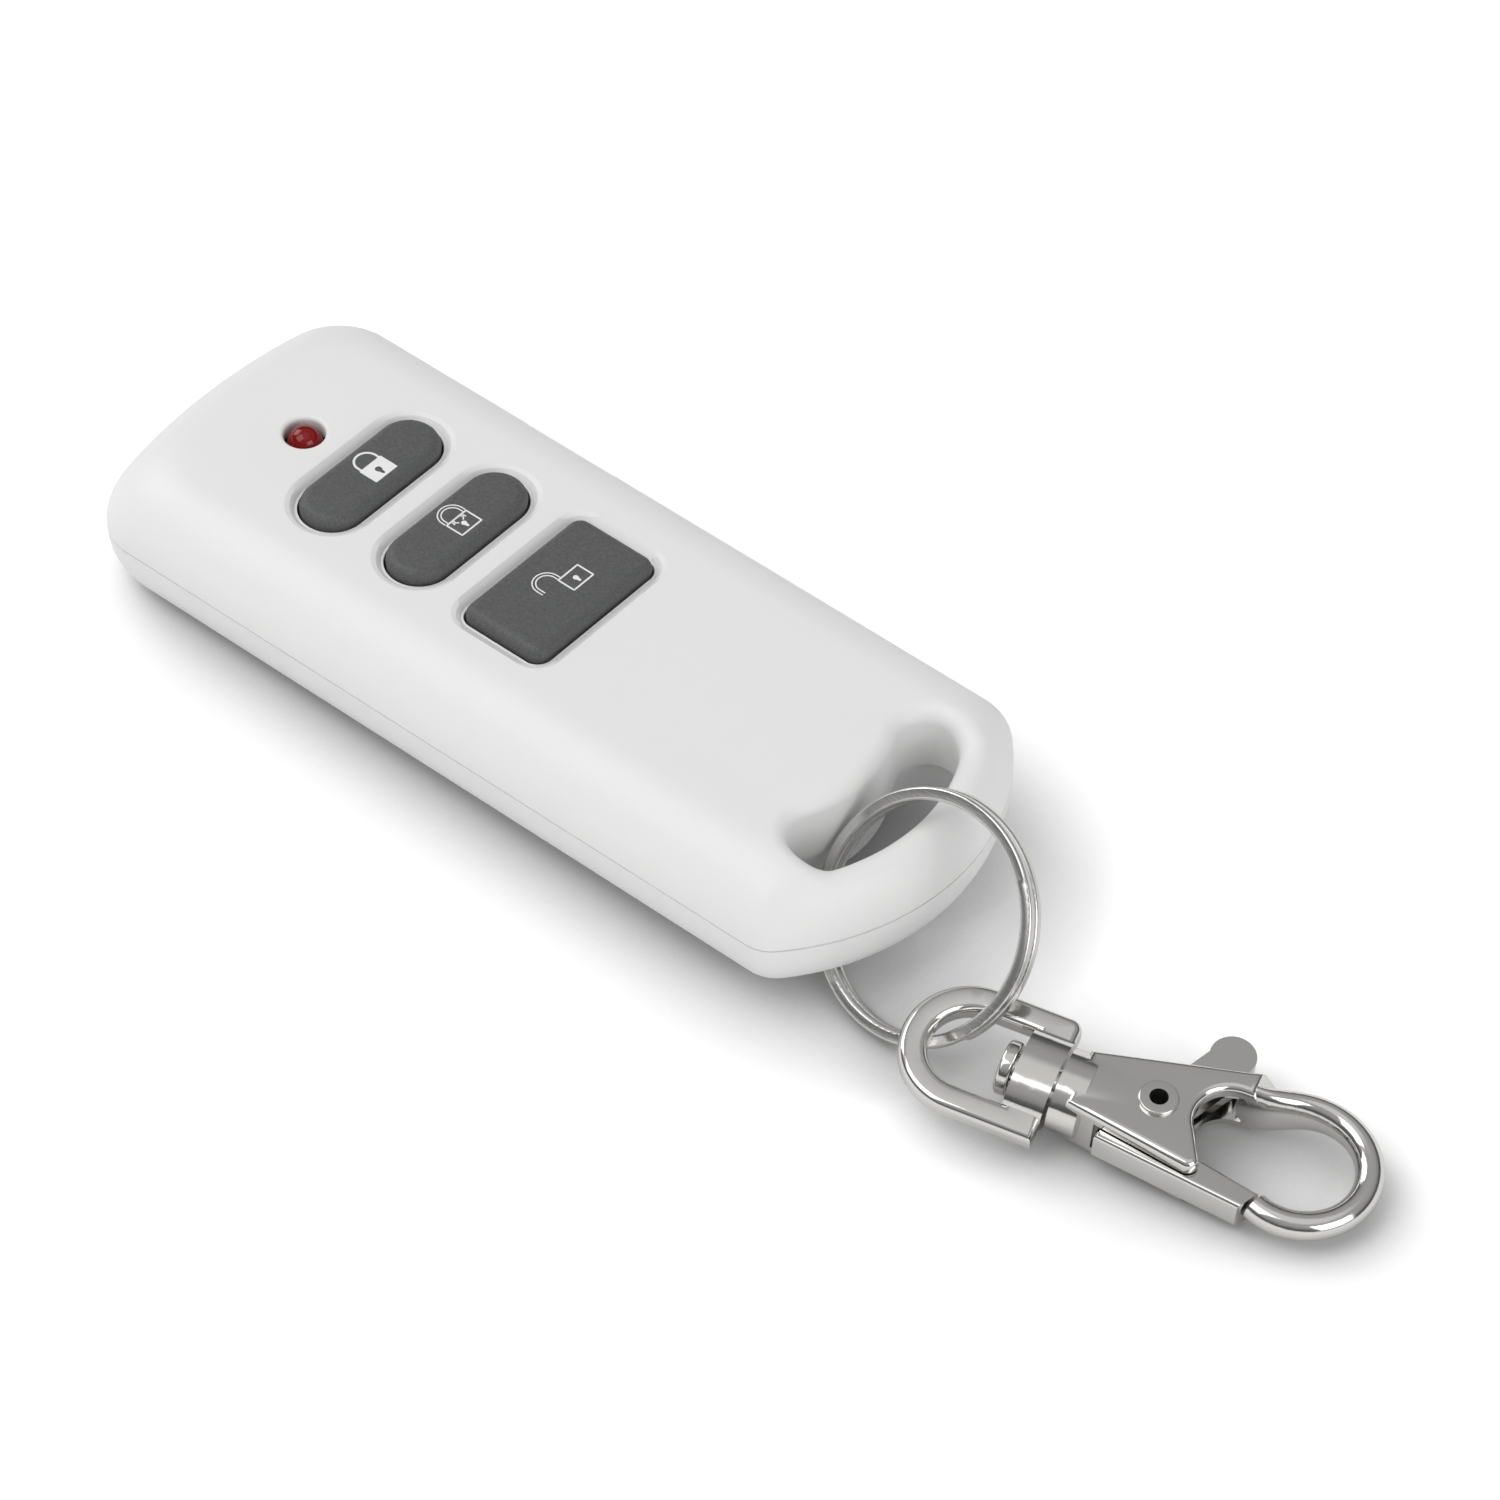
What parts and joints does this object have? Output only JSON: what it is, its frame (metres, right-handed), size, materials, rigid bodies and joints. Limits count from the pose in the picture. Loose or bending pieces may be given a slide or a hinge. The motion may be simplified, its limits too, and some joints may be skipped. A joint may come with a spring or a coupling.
{
  "type": "alarm key fob",
  "caption": "Wireless alarm remote with rubber-feel buttons, a status lamp, a split ring through its crescent slot and a swivel snap hook.",
  "frame": {"origin": "centre of the flat underside of the fob's housing", "axes": "+X to the key-ring end, +Y to the long edge with the pry notch, +Z out of the buttons"},
  "size_m": [0.1223, 0.031, 0.0179],
  "materials": {
    "housing_plastic": "white moulded plastic with a fine satin texture",
    "button_plastic": "dark grey moulded keys with a fine grain",
    "lamp_lens": "dark red tinted epoxy lens",
    "board": "green solder mask",
    "chip_black": "black moulding compound",
    "ceramic": "tan ceramic chips with tinned ends",
    "can_steel": "satin stainless steel",
    "contact_steel": "nickel-plated spring steel",
    "ring_nickel": "bright nickel plate on flattened steel wire",
    "cast_nickel": "bright nickel plate on a tumbled zinc casting"
  },
  "bodies": {
    "housing": {"front_cover": "housing_plastic", "back_cover": "housing_plastic", "circuit_board": "board", "processor_chip": "chip_black", "radio_chip": "chip_black", "crystal": "can_steel", "chip_capacitors": "ceramic", "antenna": "can_steel", "status_led": "lamp_lens", "coin_cell": "can_steel", "battery_positive_clip": "contact_steel", "battery_negative_contact": "contact_steel", "arm_switch": "can_steel", "part_arm_switch": "can_steel", "disarm_switch": "can_steel"},
    "arm_key": {"arm_button": "button_plastic", "arm_plunger": "chip_black"},
    "part_arm_key": {"part_arm_button": "button_plastic", "part_arm_plunger": "chip_black"},
    "disarm_key": {"disarm_button": "button_plastic", "disarm_plunger": "chip_black"},
    "ring": {"key_ring": "ring_nickel"},
    "eye": {"swivel_eye": "cast_nickel"},
    "hook": {"swivel_rivet": "cast_nickel", "hook_body": "cast_nickel", "gate_eyelet": "ring_nickel", "gate_spring": "contact_steel"},
    "gate": {"gate_lever": "cast_nickel"}
  },
  "joints": [
    {"name": "arm_press", "type": "slide", "parent": "housing", "child": "arm_key", "axis": [0, 0, -1], "range_m": [0, 0.0004], "stiffness_N_per_m": 3000},
    {"name": "part_arm_press", "type": "slide", "parent": "housing", "child": "part_arm_key", "axis": [0, 0, -1], "range_m": [0, 0.0004], "stiffness_N_per_m": 3000},
    {"name": "disarm_press", "type": "slide", "parent": "housing", "child": "disarm_key", "axis": [0, 0, -1], "range_m": [0, 0.0004], "stiffness_N_per_m": 3000},
    {"name": "ring_lean", "type": "hinge", "parent": "housing", "child": "ring", "pos_m": [0.04135, -0.0044, 0.00575], "axis": [0.994, -0.1097, 0], "range_deg": [0, 70]},
    {"name": "eye_slide_round_ring", "type": "hinge", "parent": "ring", "child": "eye", "pos_m": [0.04135, -0.0044, 0.00575], "axis": [-0.0868, -0.7864, 0.6115], "range_deg": [0, 90]},
    {"name": "hook_swivel", "type": "hinge", "parent": "eye", "child": "hook", "pos_m": [0.05716, -0.00755, 0.00041], "axis": [0.9474, 0.3042, -0.0993], "continuous": true},
    {"name": "gate_open", "type": "hinge", "parent": "hook", "child": "gate", "pos_m": [0.06445, -0.00469, -0.00033], "axis": [0.1208, -0.0527, 0.9913], "range_deg": [0, 22], "stiffness_Nm_per_rad": 0.02, "deforming": ["gate_spring"]}
  ]
}
